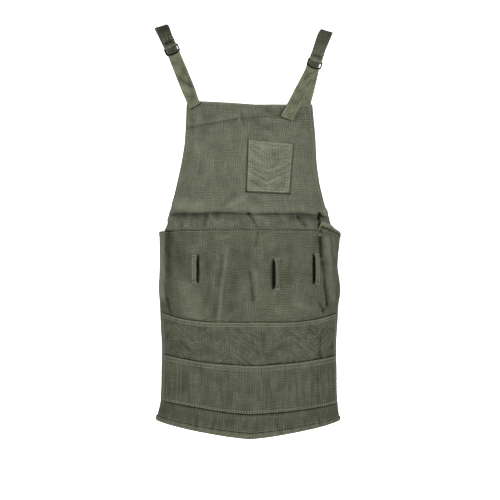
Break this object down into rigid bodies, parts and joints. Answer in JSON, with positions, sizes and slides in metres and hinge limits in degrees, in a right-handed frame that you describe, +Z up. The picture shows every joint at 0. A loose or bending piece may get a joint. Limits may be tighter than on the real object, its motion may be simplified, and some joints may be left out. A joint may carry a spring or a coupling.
{
  "type": "painter apron",
  "caption": "Worn bib apron of heavy canvas with a chest pocket, stacked rows of tool pockets, tool loops and crossed shoulder straps on D-ring adjusters.",
  "frame": {"origin": "midway between the tops of the two shoulder straps, at the mean height of their undersides, where shoulders carry the apron", "axes": "+Z up, -Y out of the front of the apron, +X to the right as seen from the front"},
  "size_m": [0.4421, 0.2463, 0.9666],
  "materials": {
    "canvas": "matte olive drab cotton canvas",
    "strap_canvas": "matte olive drab canvas strap",
    "ring_metal": "blackened steel, glossy"
  },
  "bodies": {
    "root": {"bib": "canvas", "skirt": "canvas", "chest_pocket": "canvas", "pocket_row_upper": "canvas", "pocket_row_lower": "canvas", "tool_loop_left": "canvas", "tool_loop_centre": "canvas", "tool_loop_right": "canvas", "front_strap_left": "strap_canvas", "front_strap_right": "strap_canvas", "shoulder_strap_left": "strap_canvas", "shoulder_strap_right": "strap_canvas", "ring_left_rear": "ring_metal", "ring_left_front": "ring_metal", "ring_right_rear": "ring_metal", "ring_right_front": "ring_metal"}
  },
  "joints": []
}
